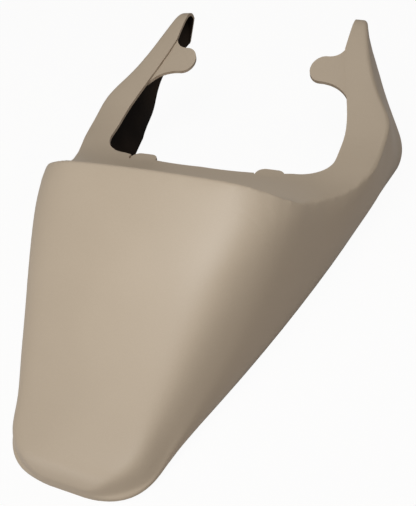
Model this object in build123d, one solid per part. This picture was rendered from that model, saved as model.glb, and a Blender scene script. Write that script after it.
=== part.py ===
from build123d import *
import math
import os

# A motorbike's tail cowl, moulded as one thin shell that is open underneath.
# X is across the bike, +Y points to the bike's front and +Z is up. The long lower edges lie on Z = 0,
# and the origin is midway along the cowl, on its plane of symmetry. Lengths are in millimetres.

# Overall sizes, and the thickness of the moulded wall
LENGTH = 564.0
WIDTH = 344.0
HEIGHT = 164.5
WALL = 3.0

# Tail end: how far ahead of the tip the outline and the top edge are rounded, and the height it points at
TAIL_CORNER_RUN = 32.0
TAIL_EDGE_RUN = 14.0
TAIL_EDGE_HEIGHT = 9.0

# How far the skin and the space inside are run on below the open underside, to be cut off level
RUN_BELOW = 1.5

# Radius of the crest around the scooped front
CREST_FILLET = 5.0

# Rear corners of the seat opening
OPENING_CORNER = 32.0

# The inner edges of the tips' end walls lean outward, down to this half width at the walls' lower edge
TIP_INNER_FOOT = 117.0

# Tabs inside the tips of the arms: half width to their round ends, station, and how deep they are stepped
TAB_END_X = 70.5
TAB_STATION = 0.862
TAB_WIDTH = 30.0
TAB_STEP = 2.5

# Tongues at the rear edge of the seat opening, and how far each one stands into it
TONGUE_X = 73.0
TONGUE_WIDTH = 30.0
TONGUE_LENGTH = 20.0
TONGUE_PROUD = 6.5
TONGUE_CORNER = 9.0


def guide(*points):
    """A smooth curve without overshoot through (station, value) points."""
    steps = [(b[0] - a[0], (b[1] - a[1]) / (b[0] - a[0])) for a, b in zip(points, points[1:])]
    slopes = [steps[0][1]]
    for (h0, d0), (h1, d1) in zip(steps, steps[1:]):
        slopes.append((h0 + h1) / (h0 / d1 + h1 / d0) if d0 * d1 > 0 else 0.0)
    slopes.append(steps[-1][1])

    def value(station):
        i = 0
        while i < len(steps) - 1 and station > points[i + 1][0]:
            i += 1
        h = steps[i][0]
        t = (station - points[i][0]) / h
        a, b = points[i][1], points[i + 1][1]
        rise, hold = t * t * (3 - 2 * t), t * (1 - t)
        return a + (b - a) * rise + h * hold * ((1 - t) * slopes[i] - t * slopes[i + 1])

    return value


# The skin's cross-section along the cowl. A station is a share of LENGTH ahead of the tail's tip.
# Heights are shares of HEIGHT. Half widths, and the shoulder's radius, are shares of half of WIDTH.
# From the crest forward the skin runs on above the deck, where the scoop takes it away.
TOP = guide((-0.042, 0.084), (0, 0.159), (0.07, 0.262), (0.118, 0.377), (0.175, 0.518), (0.23, 0.658),
            (0.292, 0.792), (0.35, 0.907), (0.414, 1.01), (0.47, 1.06), (0.6, 1.12), (0.8, 1.22), (1.04, 1.34))
CROWN = guide((-0.042, 0.006), (0.24, 0.024), (0.432, 0.03), (1.04, 0.03))
SHOULDER = guide((-0.042, 0.093), (0, 0.11), (0.07, 0.145), (0.175, 0.233), (0.292, 0.285),
                 (0.414, 0.32), (1.04, 0.32))
RIDGE = guide((-0.042, 0.03), (0, 0.04), (0.07, 0.1), (0.175, 0.26), (0.292, 0.475), (0.414, 0.66), (0.49, 0.68),
              (0.55, 0.6), (0.639, 0.53), (0.703, 0.545), (0.774, 0.61), (0.886, 0.76), (0.96, 0.84), (1.04, 0.9))
UPPER = guide((-0.042, 0.325), (0, 0.362), (0.07, 0.428), (0.175, 0.535), (0.292, 0.651), (0.414, 0.767),
              (0.49, 0.82), (0.533, 0.849), (0.586, 0.907), (0.632, 0.959), (0.696, 0.995), (0.756, 0.985),
              (0.788, 0.95), (0.822, 0.876), (0.886, 0.775), (0.949, 0.705), (1.04, 0.61))
MIDDLE = guide((-0.042, 0.33), (0, 0.37), (0.127, 0.49), (0.262, 0.63), (0.403, 0.757),
               (0.579, 0.893), (0.678, 0.965), (0.76, 0.995), (0.8, 0.99), (0.855, 0.945), (0.934, 0.85), (1.04, 0.68))
LOWER = guide((-0.042, 0.28), (0, 0.328), (0.127, 0.452), (0.262, 0.588), (0.403, 0.712), (0.579, 0.837),
              (0.7, 0.905), (0.786, 0.95), (0.855, 0.99), (0.891, 1.0), (0.934, 0.97), (1.04, 0.826))
SECTIONS = (0.0003, 0.0025, 0.008, 0.017, 0.03, 0.05, 0.085, 0.135, 0.2, 0.27, 0.345, 0.415, 0.48, 0.54,
            0.6, 0.66, 0.72, 0.77, 0.815, 0.86, 0.905, 0.95, 1.0, 1.05)
# Shares of the way from the crown to a lower edge that the section's points fall at
SPACING = (0.15, 0.265, 0.33, 0.5, 0.66, 0.735, 0.86, 1)

# Side view of the front wall, the scooped deck and the arms: (station, height)
DECK = ((0.393, 1.06), (0.412, 0.982), (0.426, 0.904), (0.448, 0.816), (0.483, 0.723), (0.533, 0.63),
        (0.586, 0.551), (0.639, 0.524), (0.703, 0.539), (0.774, 0.605), (0.886, 0.756), (0.944, 0.832),
        (0.969, 0.846), (0.987, 0.822), (0.996, 0.772), (1.0, 0.7))

# Side view of the cut under each arm's tip: (station, height)
NOSE = ((1.02, 0.585), (0.995, 0.553), (0.96, 0.494), (0.928, 0.44), (0.912, 0.355), (0.903, 0.229), (0.893, 0.108),
        (0.863, 0.03), (0.827, -0.01))

# Half of the seat opening from above: (half width, station)
OPENING_REAR = ((0, 0.586), (0.3, 0.588), (0.56, 0.603))
OPENING_SIDE = ((0.754, 0.697), (0.74, 0.751), (0.715, 0.785), (0.602, 0.902))


def at(station):
    """The Y of a station."""
    return (station - 0.5) * LENGTH


def rounding(ahead, run, power):
    """How full the tail is at a distance ahead of its tip, from 0 to 1."""
    left = max(0.0, (run - ahead) / run)
    return (1 - left * left) ** power


def wall_x(share, lower, middle, upper):
    """How far out a side wall is, on a curve through its half widths at the shares 0, 0.4 and 1."""
    return (lower * (1 - share) * (0.4 - share) / 0.4 + middle * share * (1 - share) / 0.24
            + upper * share * (share - 0.4) / 0.6)


def section(station, inset):
    """The cross-section of the skin, or of the space inside it, run on below the cowl."""
    ahead = station * LENGTH - inset
    wide = rounding(ahead, TAIL_CORNER_RUN, 0.25)
    high = rounding(ahead, TAIL_EDGE_RUN, 0.5)
    halves = [g(station) * WIDTH / 2 - inset for g in (LOWER, MIDDLE, UPPER)]
    top = TOP(station) * HEIGHT - inset * 1.15
    drop = CROWN(station) * HEIGHT
    radius = min(SHOULDER(station) * WIDTH / 2 - inset, top * 0.62)
    spring = top - drop - radius
    edge = wall_x(spring / RIDGE(station) / HEIGHT, *halves)
    bevel = radius * (1 - math.sqrt(0.5))
    half = [(share * (edge - radius), top - share * share * drop) for share in (0.45, 0.8, 1)]
    half.append((edge - bevel, top - drop - bevel))
    for z in (spring, 0.8 * spring, 0.4 * spring, -RUN_BELOW):
        half.append((wall_x(z / RIDGE(station) / HEIGHT, *halves), z))

    def rounded(z):
        return min(z, TAIL_EDGE_HEIGHT + (z - TAIL_EDGE_HEIGHT) * high)

    half = [(x * wide, rounded(z)) for x, z in half]
    crown = (0, rounded(top))
    outline = [(-x, z) for x, z in reversed(half)] + [crown] + half
    spacing = [0.5 - v / 2 for v in reversed(SPACING)] + [0.5] + [0.5 + v / 2 for v in SPACING]
    points = [(x, at(station), z) for x, z in outline]
    return closed_face([Edge.make_spline(points, parameters=spacing)], [points[-1], points[0]])


def body(inset):
    """The solid inside the skin, or inside the skin set in by a distance."""
    margin = inset / LENGTH
    stations = [s + margin * (1 - s) for s in SECTIONS]
    return loft([section(s, inset) for s in stations])


def closed_face(curves, corners):
    """The face inside some joined curves and a run of straight lines."""
    return Face(Wire(curves + [Line(a, b) for a, b in zip(corners, corners[1:])]))


def side_curve(points, depth=0.0):
    """Points of a side view in the YZ plane, moved to the right of their course by a depth."""
    flat = [(at(s), z * HEIGHT) for s, z in points]
    moved = []
    for i, (y, z) in enumerate(flat):
        (y0, z0), (y1, z1) = flat[max(i - 1, 0)], flat[min(i + 1, len(flat) - 1)]
        run = math.hypot(y1 - y0, z1 - z0)
        moved.append((0, y + (z1 - z0) / run * depth, z - (y1 - y0) / run * depth))
    return moved


def below():
    """Everything under the level lower edges."""
    return Pos(0, 0, -HEIGHT / 2) * Box(3 * WIDTH, 3 * LENGTH, HEIGHT)


def across(face):
    """A side view drawn in the YZ plane, run right across the cowl."""
    return extrude(face.moved(Location((-WIDTH, 0, 0))), amount=2 * WIDTH, dir=(1, 0, 0))


def scoop(depth):
    """Everything above the deck and ahead of the front wall and the tips, at a depth under their surface."""
    points = side_curve(DECK, depth)
    back, front = points[0], points[-1]
    ahead, ceiling = at(1.2), 2 * HEIGHT
    corners = [front, (0, front[1], 0), (0, ahead, 0), (0, ahead, ceiling), (0, back[1], ceiling), back]
    return across(closed_face([Spline(*points)], corners))


def layer(upper, lower):
    """A sheet that follows the deck between two depths under its surface."""
    return scoop(lower) - scoop(upper)


def upright(outline, top=2.0, bottom=-0.2):
    """A prism over a plan outline."""
    base = outline.moved(Location((0, 0, bottom * HEIGHT)))
    return extrude(base, amount=(top - bottom) * HEIGHT, dir=(0, 0, 1))


def opening():
    """The seat opening, which is open to the front between the arms."""
    rear = [(x * WIDTH / 2, at(s)) for x, s in OPENING_REAR]
    side = [(x * WIDTH / 2, at(s)) for x, s in OPENING_SIDE]
    turn = (side[0][0], rear[-1][1] + 3)
    mouth = (side[-1][0], at(1.2))
    curves = [Spline(*rear), Line(rear[-1], turn), Line(turn, side[0]), Spline(*side)]
    half = closed_face(curves, [side[-1], mouth, (0, mouth[1]), rear[0]])
    corner = half.vertices().sort_by_distance(turn)[0]
    half = fillet([corner], OPENING_CORNER)
    whole = half + half.mirror(Plane.YZ)
    return upright(whole.faces()[0])


def nose_cut():
    """What is cut away under the tips of the arms."""
    points = side_curve(NOSE)
    far = (0, at(1.2), -HEIGHT)
    first, last = points[0], points[-1]
    corners = [last, (0, last[1], far[2]), far, (0, far[1], first[2]), first]
    return across(closed_face([Spline(*points)], corners))


def tip_relief():
    """What is taken off the inner edges of the tips' end walls."""
    inner, top, low = OPENING_SIDE[-1][0] * WIDTH / 2, DECK[-2][1] * HEIGHT, NOSE[1][1] * HEIGHT
    foot = inner + (TIP_INNER_FOOT - inner) * (top + HEIGHT) / (top - low)
    corners = [(x, at(0.97), z) for x, z in ((0, top), (inner, top), (foot, -HEIGHT), (0, -HEIGHT), (0, top))]
    return extrude(closed_face([], corners), amount=at(1.2) - at(0.97), dir=(0, 1, 0))


def tab():
    """The plan of a tab, from its round end to where it runs in under the arm."""
    y = at(TAB_STATION)
    radius = TAB_WIDTH / 2
    x = TAB_END_X + radius
    rear = [(x, y - radius), (x + 15, y - radius - 2.5), (x + 26, y - radius - 8), (x + 36, y - radius - 19)]
    front = [(x + 19, y + radius + 12), (x + 14, y + radius + 4), (x, y + radius)]
    curves = [Spline(*rear), Spline(*front), ThreePointArc(front[-1], (TAB_END_X, y), rear[0])]
    return closed_face(curves, [rear[-1], (x + 42, rear[-1][1]), (x + 27, front[0][1]), front[0]])


def tongue(length, proud):
    """The plan of a tongue, or of the pocket it sits in."""
    y = at(OPENING_REAR[-1][1]) + proud - length / 2
    pad = Rectangle(TONGUE_WIDTH, length)
    return Pos(TONGUE_X, y) * fillet(pad.vertices(), TONGUE_CORNER)


def both_sides(shape):
    """A shape together with its mirror image in the plane of symmetry."""
    return [shape, shape.mirror(Plane.YZ)]


def crests(solid, depth):
    """The edges where the scoop meets the skin."""
    deck = solid.faces().sort_by_distance((0, at(0.6), HEIGHT * 0.54 - depth))[0]
    return deck.edges().filter_by(GeomType.BSPLINE)


def main():
    """Mould the shell and write it out."""
    skin = body(0) - scoop(0)
    skin = fillet(crests(skin, 0), CREST_FILLET)
    hollow = body(WALL) - scoop(WALL)
    shell = skin - hollow - below() - opening() - nose_cut()
    for relief in both_sides(tip_relief()):
        shell -= relief
    for prism in both_sides(upright(tongue(TONGUE_LENGTH, TONGUE_PROUD).faces()[0])):
        shell = shell - (prism & layer(-1, TAB_STEP)) + (prism & layer(TAB_STEP, TAB_STEP + WALL))
    for prism in both_sides(upright(tab())):
        shell += prism & layer(TAB_STEP, TAB_STEP + WALL)
    os.makedirs("parts", exist_ok=True)
    export_step(shell, "parts/seat_cowl.step")


main()
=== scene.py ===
"""The seat cowl in its paint, with the bare inner face, the studio and the camera around it.

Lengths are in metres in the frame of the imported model: X is across the bike, +Y points to its
front, and the long lower edges of the cowl lie on Z = 0.
"""

import logging
import math
from dataclasses import dataclass, field
from enum import IntEnum
from typing import Any, Optional, Union

import bmesh
import bpy
from mathutils import Matrix, Vector


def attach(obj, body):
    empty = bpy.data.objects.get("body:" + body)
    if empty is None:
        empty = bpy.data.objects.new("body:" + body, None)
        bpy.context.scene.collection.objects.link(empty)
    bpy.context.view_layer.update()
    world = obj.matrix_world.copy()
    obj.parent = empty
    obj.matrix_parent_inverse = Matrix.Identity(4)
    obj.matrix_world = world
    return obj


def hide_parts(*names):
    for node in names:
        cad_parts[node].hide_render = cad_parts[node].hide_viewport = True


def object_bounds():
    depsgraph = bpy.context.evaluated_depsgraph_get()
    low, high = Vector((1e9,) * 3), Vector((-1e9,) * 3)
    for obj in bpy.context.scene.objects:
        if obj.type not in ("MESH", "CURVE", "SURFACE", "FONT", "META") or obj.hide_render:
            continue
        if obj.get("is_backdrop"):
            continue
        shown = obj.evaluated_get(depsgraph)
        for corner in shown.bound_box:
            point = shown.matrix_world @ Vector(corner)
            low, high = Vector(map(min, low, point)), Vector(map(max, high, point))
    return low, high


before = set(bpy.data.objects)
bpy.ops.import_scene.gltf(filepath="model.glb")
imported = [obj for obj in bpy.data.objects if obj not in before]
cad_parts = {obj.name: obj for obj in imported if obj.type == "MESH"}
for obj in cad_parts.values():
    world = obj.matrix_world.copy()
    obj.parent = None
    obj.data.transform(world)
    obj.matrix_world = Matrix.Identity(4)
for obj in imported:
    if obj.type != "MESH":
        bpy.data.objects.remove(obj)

log = logging.getLogger("seat_cowl")

SQUARE_CM = 1e4

Number = Union[int, float]
Colour = tuple[float, float, float]
Point = tuple[float, float, float]


class Link:
    """An output socket that Python's operators can reckon with."""

    def __init__(self, recipe: "Recipe", socket: bpy.types.NodeSocket) -> None:
        """Wrap a socket.

        Args:
            recipe: The recipe whose tree the socket belongs to.
            socket: The output socket.
        """
        self.recipe = recipe
        self.socket = socket

    def maths(self, operation: str, first: Any, second: Any) -> "Link":
        """Add one Math node.

        Args:
            operation: The node's operation.
            first: The first value or link.
            second: The second value or link.

        Returns:
            The node's result.
        """
        return self.recipe.node("ShaderNodeMath", {"operation": operation}, {0: first, 1: second})

    def __add__(self, other: Any) -> "Link":
        """Give self + other."""
        return self.maths("ADD", self, other)

    def __radd__(self, other: Any) -> "Link":
        """Give other + self."""
        return self.maths("ADD", other, self)

    def __mul__(self, other: Any) -> "Link":
        """Give self * other."""
        return self.maths("MULTIPLY", self, other)

    def __rmul__(self, other: Any) -> "Link":
        """Give other * self."""
        return self.maths("MULTIPLY", other, self)

    def ramp(self, low: Number, high: Number) -> "Link":
        """Give how far the value is from low to high, smoothed and kept from 0 to 1.

        Args:
            low: The value that gives 0.
            high: The value that gives 1.

        Returns:
            The smoothed share.
        """
        return self.recipe.node(
            "ShaderNodeMapRange",
            {"interpolation_type": "SMOOTHSTEP"},
            {"Value": self, "From Min": low, "From Max": high},
        )


class Recipe:
    """The node tree of a material or a world, filled in by one method."""

    def __init__(self, owner: Union[bpy.types.Material, bpy.types.World]) -> None:
        """Start with an empty tree.

        Args:
            owner: The material or world that the tree belongs to.
        """
        self.owner = owner
        self.owner.use_nodes = True
        self.tree = self.owner.node_tree
        self.tree.nodes.clear()

    def node(
        self,
        kind: str,
        settings: Optional[dict[str, Any]] = None,
        values: Optional[dict[Union[str, int], Any]] = None,
        output: Union[str, int] = 0,
    ) -> Optional[Link]:
        """Add a node.

        Args:
            kind: The node's type.
            settings: Its own settings, which are made first.
            values: What its input sockets hold or are linked to.
            output: The output socket to give back.

        Returns:
            That output, or None from a node that ends the tree.
        """
        made = self.tree.nodes.new(kind)
        for key, value in (settings or {}).items():
            setattr(made, key, value)
        for key, value in (values or {}).items():
            if isinstance(value, Link):
                self.tree.links.new(value.socket, made.inputs[key])
            else:
                made.inputs[key].default_value = value
        return Link(self, made.outputs[output]) if made.outputs else None

    def place(self) -> Link:
        """Give the point of the object that is shaded, in metres."""
        return self.node("ShaderNodeTexCoord", output="Object")

    def noise(self, size: float, detail: float = 2.0, rough: float = 0.5) -> Link:
        """Add a noise pattern.

        Args:
            size: The rough size of its features, in metres.
            detail: How many finer layers it has.
            rough: How strong the finer layers are.

        Returns:
            Its value, about 0.5 on average.
        """
        values = {"Vector": self.place(), "Scale": 1 / size, "Detail": detail, "Roughness": rough}
        return self.node("ShaderNodeTexNoise", values=values)

    def blend(self, share: Union[Link, float], first: Any, second: Any) -> Link:
        """Mix two colours.

        Args:
            share: How much of the second there is, from 0 to 1.
            first: The first colour.
            second: The second colour.

        Returns:
            The mixed colour.
        """
        whole = [(*c, 1.0) if isinstance(c, tuple) else c for c in (first, second)]
        return self.node(
            "ShaderNodeMix", {"data_type": "RGBA"}, {0: share, 6: whole[0], 7: whole[1]}, output=2
        )

    def bump(self, height: Link, depth: float, strength: float) -> Link:
        """Turn a height into a bumped normal.

        Args:
            height: The height, where 1 is the full depth.
            depth: The full depth, in metres.
            strength: How much of the bump shows.

        Returns:
            The normal.
        """
        values = {"Height": height, "Distance": depth, "Strength": strength}
        return self.node("ShaderNodeBump", values=values)

    def finish(self, surface: Link) -> bpy.types.Material:
        """Make a shader the material's surface.

        Args:
            surface: The shader.

        Returns:
            The material.
        """
        self.node("ShaderNodeOutputMaterial", values={"Surface": surface})
        return self.owner


@dataclass(frozen=True)
class SatinPaint:
    """Warm grey satin paint, sprayed on a moulded panel."""

    colour: Colour = (0.445, 0.372, 0.287)
    shade: Colour = (0.41, 0.341, 0.261)
    roughness: float = 0.46
    roughness_range: float = 0.07
    gloss: float = 0.38
    cloud_size: float = 0.16
    cloud_edges: tuple[float, float] = (0.3, 0.7)
    cloud_share: float = 0.7
    speckle_size: float = 0.0011
    speckle_edges: tuple[float, float] = (0.35, 0.75)
    speckle_share: float = 0.3
    peel_size: float = 0.0024
    peel_depth: float = 0.00006
    peel_strength: float = 0.35

    def material(self) -> bpy.types.Material:
        """Make the paint, with faint clouds, fine speckle and the ripple of a sprayed coat.

        Returns:
            The material.
        """
        recipe = Recipe(bpy.data.materials.new("satin_paint"))
        cloud = recipe.noise(self.cloud_size, detail=3.0).ramp(*self.cloud_edges)
        speckle = recipe.noise(self.speckle_size, detail=1.0).ramp(*self.speckle_edges)
        light = self.cloud_share * cloud + self.speckle_share * speckle
        rough = (self.roughness - self.roughness_range / 2) + self.roughness_range * cloud
        ripple = recipe.noise(self.peel_size, detail=1.5, rough=0.4)
        paint = recipe.node(
            "ShaderNodeBsdfPrincipled",
            values={
                "Base Color": recipe.blend(light, self.shade, self.colour),
                "Roughness": rough,
                "Normal": recipe.bump(ripple, self.peel_depth, self.peel_strength),
                "Specular IOR Level": self.gloss,
            },
        )
        return recipe.finish(paint)


@dataclass(frozen=True)
class BareMoulding:
    """Black moulded plastic that was never painted, with a fine grain."""

    colour: Colour = (0.003, 0.0022, 0.0018)
    # painted sheen: a brown colour laid on in patches, standing in for light caught on the dark inner
    # face
    painted_sheen: Colour = (0.075, 0.053, 0.04)
    roughness: float = 0.62
    painted_sheen_roughness: float = 0.12
    gloss: float = 0.05
    painted_sheen_size: float = 0.1
    painted_sheen_edges: tuple[float, float] = (0.35, 0.8)
    grain_size: float = 0.0009
    grain_depth: float = 0.00012
    grain_strength: float = 0.5

    def material(self) -> bpy.types.Material:
        """Make the plastic, with a brown bloom in patches and an even grain.

        Returns:
            The material.
        """
        recipe = Recipe(bpy.data.materials.new("bare_moulding"))
        # painted sheen: noise patches where the brown stands in for light caught on the inner face
        painted_sheen = recipe.noise(self.painted_sheen_size, detail=2.0, rough=0.45).ramp(*self.painted_sheen_edges)
        grain = recipe.noise(self.grain_size, detail=2.0)
        plastic = recipe.node(
            "ShaderNodeBsdfPrincipled",
            values={
                "Base Color": recipe.blend(painted_sheen, self.colour, self.painted_sheen),
                "Roughness": self.roughness + self.painted_sheen_roughness * painted_sheen,
                "Normal": recipe.bump(grain, self.grain_depth, self.grain_strength),
                "Specular IOR Level": self.gloss,
            },
        )
        return recipe.finish(plastic)


@dataclass(frozen=True)
class PaintedEdge:
    """The thin cut edges, where the coat is thin and warmer in colour."""

    colour: Colour = (0.4, 0.328, 0.25)
    thin: Colour = (0.31, 0.235, 0.17)
    roughness: float = 0.5
    patch_roughness: float = 0.08
    gloss: float = 0.38
    patch_size: float = 0.006
    patch_edges: tuple[float, float] = (0.35, 0.7)
    patch_depth: float = 0.00008
    patch_strength: float = 0.3

    def material(self) -> bpy.types.Material:
        """Make the edge's coat, patchy where it runs thin.

        Returns:
            The material.
        """
        recipe = Recipe(bpy.data.materials.new("painted_edge"))
        patch = recipe.noise(self.patch_size, detail=3.0).ramp(*self.patch_edges)
        coat = recipe.node(
            "ShaderNodeBsdfPrincipled",
            values={
                "Base Color": recipe.blend(patch, self.thin, self.colour),
                "Roughness": self.roughness + self.patch_roughness * patch,
                "Normal": recipe.bump(patch, self.patch_depth, self.patch_strength),
                "Specular IOR Level": self.gloss,
            },
        )
        return recipe.finish(coat)


@dataclass(frozen=True)
class StudioCard:
    """The pale card that the cowl lies on, which the camera sees as near white."""

    colour: Colour = (0.62, 0.575, 0.53)
    roughness: float = 0.6
    glow: float = 1.0
    share: float = 0.95
    mirrored: float = 0.3

    def material(self) -> bpy.types.Material:
        """Make the card: it keeps a soft shadow, and its white isn't light on the cowl.

        Returns:
            The material.
        """
        recipe = Recipe(bpy.data.materials.new("studio_card"))
        rays = [
            recipe.node("ShaderNodeLightPath", output=name)
            for name in ("Is Camera Ray", "Is Glossy Ray", "Is Transmission Ray")
        ]
        seen = rays[0].maths("MAXIMUM", rays[0], self.mirrored * rays[1] + rays[2])
        matte = recipe.node(
            "ShaderNodeBsdfDiffuse",
            values={"Color": (*self.colour, 1.0), "Roughness": self.roughness},
        )
        white = recipe.node("ShaderNodeEmission", values={"Strength": self.glow})
        card = recipe.node(
            "ShaderNodeMixShader", values={0: seen * self.share, 1: matte, 2: white}
        )
        return recipe.finish(card)


class Coat(IntEnum):
    """The finishes of the shell, in the order of its material slots."""

    PAINT = 0
    BARE = 1
    EDGE = 2


def eased(value: float, low: float, high: float) -> float:
    """Give how far a value is from low to high, eased at both ends.

    Args:
        value: The value.
        low: Where the result leaves 0.
        high: Where it reaches 1.

    Returns:
        A share from 0 to 1.
    """
    share = min(max((value - low) / (high - low), 0.0), 1.0)
    return share * share * (3 - 2 * share)


@dataclass(frozen=True)
class ArmCells:
    """The small cells that the arms and their roots are divided into, to be shaped."""

    step: float = 0.006
    inner: float = 0.088
    across: int = 14
    rear: float = -0.072
    along: int = 60
    low: float = 0.06
    up: int = 13
    merge: float = 1e-6

    def planes(self) -> list[tuple[Vector, Vector]]:
        """Lay out the planes between the cells.

        Returns:
            A point and the normal of each plane.
        """
        found = []
        for i in range(self.along):
            found.append((Vector((0, self.rear + i * self.step, 0)), Vector((0, 1, 0))))
        for i in range(self.across):
            for side in (-1, 1):
                place = Vector((side * (self.inner + i * self.step), 0, 0))
                found.append((place, Vector((1, 0, 0))))
        for i in range(self.up):
            found.append((Vector((0, 0, self.low + i * self.step)), Vector((0, 0, 1))))
        return found

    def cut(self, mesh: bmesh.types.BMesh) -> None:
        """Divide the shell along the planes.

        Args:
            mesh: The shell's mesh.
        """
        faces = [f for f in mesh.faces if self.near(f)]
        sides = dict.fromkeys(e for f in faces for e in f.edges)
        ends = dict.fromkeys(v for f in faces for v in f.verts)
        parts = [*ends, *sides, *faces]
        for place, normal in self.planes():
            done = bmesh.ops.bisect_plane(
                mesh, geom=parts, dist=self.merge, plane_co=place, plane_no=normal
            )
            parts = done["geom"]

    def near(self, face: bmesh.types.BMFace) -> bool:
        """Tell whether a face reaches into the part that is divided.

        Args:
            face: The face.

        Returns:
            Whether it does.
        """
        corners = [v.co for v in face.verts]
        return (
            max(abs(c.x) for c in corners) > self.inner
            and max(c.y for c in corners) > self.rear
            and max(c.z for c in corners) > self.low
        )


@dataclass(frozen=True)
class SoftCrest:
    """The broad, soft turn from the top of each arm into its outer wall."""

    rear: float = -0.03
    full: float = 0.045
    ease_off: float = 0.13
    front: float = 0.27
    step: float = 0.006
    fall: float = 0.005
    tip_fall: float = 0.0015
    reach_across: float = 0.044
    reach_down: float = 0.034
    wall: float = 0.0032

    def line(self, mesh: bmesh.types.BMesh) -> list[tuple[float, float]]:
        """Find the crest as (half width, height), at even steps from the rear to the front.

        Args:
            mesh: The shell's mesh.

        Returns:
            One crest point for each step, smoothed along the arm.
        """
        count = int((self.front - self.rear) / self.step) + 3
        found = [(0.0, 0.0)] * count
        for vert in mesh.verts:
            i = round((vert.co.y - self.rear) / self.step)
            if 0 <= i < count and vert.co.x + vert.co.z > sum(found[i]):
                found[i] = (vert.co.x, vert.co.z)
        smooth = []
        for i in range(count):
            nearby = found[max(i - 2, 0) : i + 3]
            smooth.append(tuple(sum(p[k] for p in nearby) / len(nearby) for k in (0, 1)))
        return smooth

    def shape(self, mesh: bmesh.types.BMesh) -> None:
        """Let the top of each arm fall away toward its outer wall.

        Args:
            mesh: The shell's mesh.
        """
        crest = self.line(mesh)
        for vert in mesh.verts:
            x, y, z = vert.co
            along = (y - self.rear) / self.step
            i = int(along)
            if along < 0 or i + 1 >= len(crest):
                continue
            part = along - i
            cx, cz = (crest[i][k] * (1 - part) + crest[i + 1][k] * part for k in (0, 1))
            hidden = all(face.material_index != Coat.PAINT for face in vert.link_faces)
            skin = self.wall if hidden else 0.0
            across = max(cx - abs(x) - skin, 0.0) / self.reach_across
            down = max(cz - z - skin, 0.0) / self.reach_down
            if across >= 1 or down >= 1:
                continue
            swell = eased(y, self.rear, self.full)
            tip = eased(y, self.ease_off, self.front)
            share = ((1 - across) * (1 - down)) ** 2 * swell
            fall = self.fall * (1 - tip) + self.tip_fall * tip
            vert.co.z -= share * fall


@dataclass(frozen=True)
class ArmSpread:
    """The upper walls of the arms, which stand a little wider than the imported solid's."""

    spread: float = 0.0035
    widest: float = 0.1725
    room_for_half: float = 0.002
    root: tuple[float, float] = (-0.01, 0.05)
    end: tuple[float, float] = (0.13, 0.2)
    height: tuple[float, float] = (0.03, 0.09)
    half_width: tuple[float, float] = (0.11, 0.15)

    def shape(self, mesh: bmesh.types.BMesh) -> None:
        """Draw the upper walls outward, less and less toward the widest place.

        Args:
            mesh: The shell's mesh.
        """
        for vert in mesh.verts:
            x, y, z = vert.co
            share = eased(y, *self.root) * (1 - eased(y, *self.end)) * eased(z, *self.height)
            room = max(self.widest - abs(x), 0.0)
            share *= room / (room + self.room_for_half) * eased(abs(x), *self.half_width)
            vert.co.x += math.copysign(self.spread * share, x)


@dataclass(frozen=True)
class SmoothRoot:
    """The root of each arm, where the hump, the deck and the outer wall run into one another."""

    inner: float = 0.09
    rear: float = -0.07
    front: float = 0.085
    low: float = 0.062
    ring: float = 0.005
    rings: int = 5
    rounds: int = 12
    strength: float = 0.5

    def shape(self, mesh: bmesh.types.BMesh) -> None:
        """Smooth the root, less and less toward its bounds.

        Args:
            mesh: The shell's mesh.
        """
        for i in range(self.rings):
            inset = i * self.ring
            verts = [v for v in mesh.verts if self.within(v, inset)]
            for _ in range(self.rounds):
                bmesh.ops.smooth_vert(
                    mesh,
                    verts=verts,
                    factor=self.strength,
                    use_axis_x=True,
                    use_axis_y=True,
                    use_axis_z=True,
                )

    def within(self, vert: bmesh.types.BMVert, inset: float) -> bool:
        """Tell whether a point is inside the root's bounds and away from the rims.

        Args:
            vert: The point.
            inset: How far inside the bounds it must be.

        Returns:
            Whether it is smoothed.
        """
        x, y, z = vert.co
        inside = (
            abs(x) > self.inner + inset
            and self.rear + inset < y < self.front - inset
            and z > self.low + inset
        )
        return inside and len({face.material_index for face in vert.link_faces}) == 1


@dataclass(frozen=True)
class HumpCrest:
    """The front crest of the hump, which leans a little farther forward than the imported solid's."""

    forward: float = 0.006
    foot_height: float = 0.116
    top_height: float = 0.152
    rear: float = -0.16
    front: float = -0.058

    def shape(self, mesh: bmesh.types.BMesh) -> None:
        """Draw the crest forward, and the top of the hump evenly after it.

        Args:
            mesh: The shell's mesh.
        """
        for vert in mesh.verts:
            lift = eased(vert.co.z, self.foot_height, self.top_height)
            vert.co.y += self.forward * lift * eased(vert.co.y, self.rear, self.front)


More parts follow.
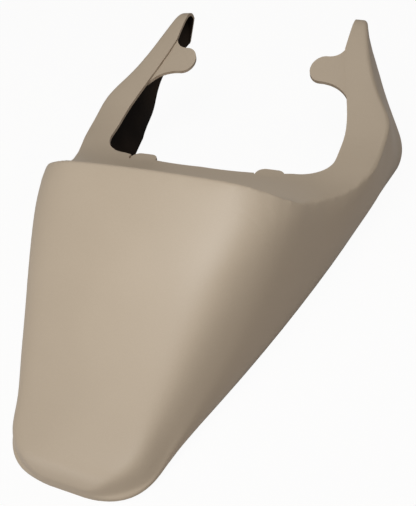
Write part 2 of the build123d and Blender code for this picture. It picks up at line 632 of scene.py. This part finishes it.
@dataclass
class CowlShell:
    """The one moulded shell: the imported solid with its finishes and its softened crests."""

    node: str = "seat_cowl"
    slot: str = "satin_shell"
    merge: float = 0.00001
    crease: float = math.radians(38)
    rim_width: float = 0.0042
    spine_height: float = 0.035
    spine_share: float = 0.5
    spine_rear: float = -0.215
    spine_front: float = 0.16
    cells: ArmCells = field(default_factory=ArmCells)
    crest: SoftCrest = field(default_factory=SoftCrest)
    spread: ArmSpread = field(default_factory=ArmSpread)
    root: SmoothRoot = field(default_factory=SmoothRoot)
    hump: HumpCrest = field(default_factory=HumpCrest)
    paint: SatinPaint = field(default_factory=SatinPaint)
    bare: BareMoulding = field(default_factory=BareMoulding)
    edge: PaintedEdge = field(default_factory=PaintedEdge)

    def build(self) -> bpy.types.Object:
        """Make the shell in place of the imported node.

        Returns:
            The finished shell.
        """
        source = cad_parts[self.node]
        shell = bpy.data.objects.new("cowl_shell", source.data.copy())
        bpy.context.scene.collection.objects.link(shell)
        self.select(shell)
        self.weld()
        self.dress(shell)
        bpy.ops.object.shade_smooth_by_angle(angle=self.crease)
        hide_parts(self.node)
        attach(shell, "root")
        return shell

    @staticmethod
    def select(shell: bpy.types.Object) -> None:
        """Make the shell the only selected object, and the active one.

        Args:
            shell: The shell.
        """
        bpy.ops.object.select_all(action="DESELECT")
        shell.select_set(True)
        bpy.context.view_layer.objects.active = shell

    def weld(self) -> None:
        """Join the loose triangles of the active object where their corners meet."""
        bpy.ops.object.mode_set(mode="EDIT")
        bpy.ops.mesh.select_all(action="SELECT")
        bpy.ops.mesh.remove_doubles(threshold=self.merge)
        bpy.ops.mesh.select_all(action="DESELECT")
        bpy.ops.object.mode_set(mode="OBJECT")
        bpy.ops.mesh.customdata_custom_splitnormals_clear()

    def outward(self, place: Vector, normal: Vector) -> float:
        """Tell how far a surface faces away from the line along the middle of the cowl.

        Args:
            place: A point of the surface.
            normal: Its normal.

        Returns:
            A share, above 0 on the outside.
        """
        along = min(max(place.y, self.spine_rear), self.spine_front)
        away = place - Vector((0, along, min(self.spine_height, place.z * self.spine_share)))
        return normal.dot(away.normalized())

    def regions(self, mesh: bmesh.types.BMesh) -> list[list[bmesh.types.BMFace]]:
        """Part the surface along its creases.

        Args:
            mesh: The shell's mesh.

        Returns:
            The faces of each smooth region.
        """
        left = dict.fromkeys(mesh.faces)
        parts = []
        while left:
            first = next(iter(left))
            del left[first]
            region, front = [], [first]
            while front:
                face = front.pop()
                region.append(face)
                for side in face.edges:
                    if side.calc_face_angle(math.pi) > self.crease:
                        continue
                    for other in side.link_faces:
                        if other in left:
                            del left[other]
                            front.append(other)
            parts.append(region)
        return parts

    def dress(self, shell: bpy.types.Object) -> None:
        """Give each smooth region of the shell its finish, and then soften the crests.

        Args:
            shell: The shell.
        """
        shell.data.materials.clear()
        for finish in (self.paint, self.bare, self.edge):
            shell.data.materials.append(finish.material())
        mesh = bmesh.new()
        mesh.from_mesh(shell.data)
        for region in self.regions(mesh):
            coat = self.coat(region)
            for face in region:
                face.material_index = coat
        self.cells.cut(mesh)
        for form in (self.crest, self.spread, self.root, self.hump):
            form.shape(mesh)
        mesh.to_mesh(shell.data)
        mesh.free()

    def coat(self, region: list[bmesh.types.BMFace]) -> Coat:
        """Choose the finish of a smooth region: a rim by its width, any other by where it faces.

        Args:
            region: Its faces.

        Returns:
            The finish.
        """
        area = sum(face.calc_area() for face in region)
        rim = sum(
            side.calc_length()
            for face in region
            for side in face.edges
            if side.calc_face_angle(math.pi) > self.crease
        )
        vote = sum(
            self.outward(face.calc_center_median(), face.normal) * face.calc_area()
            for face in region
        )
        if 2 * area < self.rim_width * rim:
            found = Coat.EDGE
        else:
            found = Coat.PAINT if vote > 0 else Coat.BARE
        log.info("%s region of %.1f cm2", found.name, area * SQUARE_CM)
        return found


@dataclass(frozen=True)
class Lamp:
    """A soft square lamp that is aimed at a point of the cowl."""

    name: str
    place: Point
    size: float
    power: float
    target: Point = (0.0, 0.0, 0.07)

    def build(self) -> bpy.types.Object:
        """Put the lamp in the scene.

        Returns:
            The lamp.
        """
        bpy.ops.object.select_all(action="DESELECT")
        bpy.ops.object.light_add(type="AREA", location=self.place)
        lamp = bpy.context.object
        lamp.name = self.name
        lamp.data.shape = "SQUARE"
        lamp.data.size = self.size
        lamp.data.energy = self.power
        lamp.visible_camera = False
        way = Vector(self.target) - Vector(self.place)
        lamp.rotation_euler = way.to_track_quat("-Z", "Y").to_euler()
        return lamp


@dataclass
class Studio:
    """The floor, the lamps and the light all round."""

    floor_size: float = 9.0
    sky: float = 0.22
    sky_tint: Colour = (1.0, 0.92, 0.83)
    horizon: Colour = (0.96, 0.96, 0.96)
    card: StudioCard = field(default_factory=StudioCard)
    lamps: tuple[Lamp, ...] = (
        Lamp("key_lamp", (0.14, -0.36, 0.98), 0.55, 7.4),
        Lamp("tail_lamp", (-0.65, -1.7, 0.45), 0.9, 8.0),
    )

    def build(self) -> None:
        """Make the floor, the lamps and the world."""
        bpy.ops.object.select_all(action="DESELECT")
        bpy.ops.mesh.primitive_plane_add(size=self.floor_size, location=(0, 0, 0))
        floor = bpy.context.object
        floor.name = "studio_floor"
        floor.data.materials.append(self.card.material())
        floor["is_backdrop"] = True
        for lamp in self.lamps:
            lamp.build()
        self.build_sky()
        bpy.context.scene.view_settings.view_transform = "Standard"

    def build_sky(self) -> None:
        """Make the light all round, which the camera sees as white."""
        world = bpy.data.worlds.new("studio_sky")
        recipe = Recipe(world)
        seen = recipe.node("ShaderNodeLightPath", output="Is Camera Ray")
        light = recipe.node(
            "ShaderNodeBackground", values={"Color": (*self.sky_tint, 1.0), "Strength": self.sky}
        )
        white = recipe.node("ShaderNodeBackground", values={"Color": (*self.horizon, 1.0)})
        sky = recipe.node("ShaderNodeMixShader", values={0: seen, 1: light, 2: white})
        recipe.node("ShaderNodeOutputWorld", values={"Surface": sky})
        bpy.context.scene.world = world


@dataclass
class StudioCamera:
    """The camera, high behind the cowl's right side."""

    place: Point = (0.32945, -0.4811, 0.5622)
    right: Point = (0.90354, 0.39020, -0.17702)
    forward: Point = (-0.39675, 0.60575, -0.68959)
    lens: float = 53.36

    def build(self) -> bpy.types.Object:
        """Put the camera in the scene.

        Returns:
            The camera.
        """
        data = bpy.data.cameras.new("studio_camera")
        data.lens = self.lens
        camera = bpy.data.objects.new("studio_camera", data)
        bpy.context.scene.collection.objects.link(camera)
        forward = Vector(self.forward).normalized()
        right = Vector(self.right)
        right = (right - right.dot(forward) * forward).normalized()
        turn = Matrix((right, right.cross(forward), -forward)).transposed()
        camera.matrix_world = Matrix.Translation(self.place) @ turn.to_4x4()
        bpy.context.scene.camera = camera
        return camera


def corners() -> list[list[float]]:
    """Give the lowest and highest corner of the shown object as plain lists."""
    return [list(corner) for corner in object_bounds()]


def main() -> None:
    """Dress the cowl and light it."""
    logging.basicConfig(level=logging.INFO, format="%(name)s: %(message)s")
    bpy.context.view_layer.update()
    StudioCamera().build()
    log.info("camera placed")
    shell = CowlShell().build()
    log.info("%s has %d faces", shell.name, len(shell.data.polygons))
    Studio().build()
    log.info("studio lit")


if __name__ == "__main__":
    main()
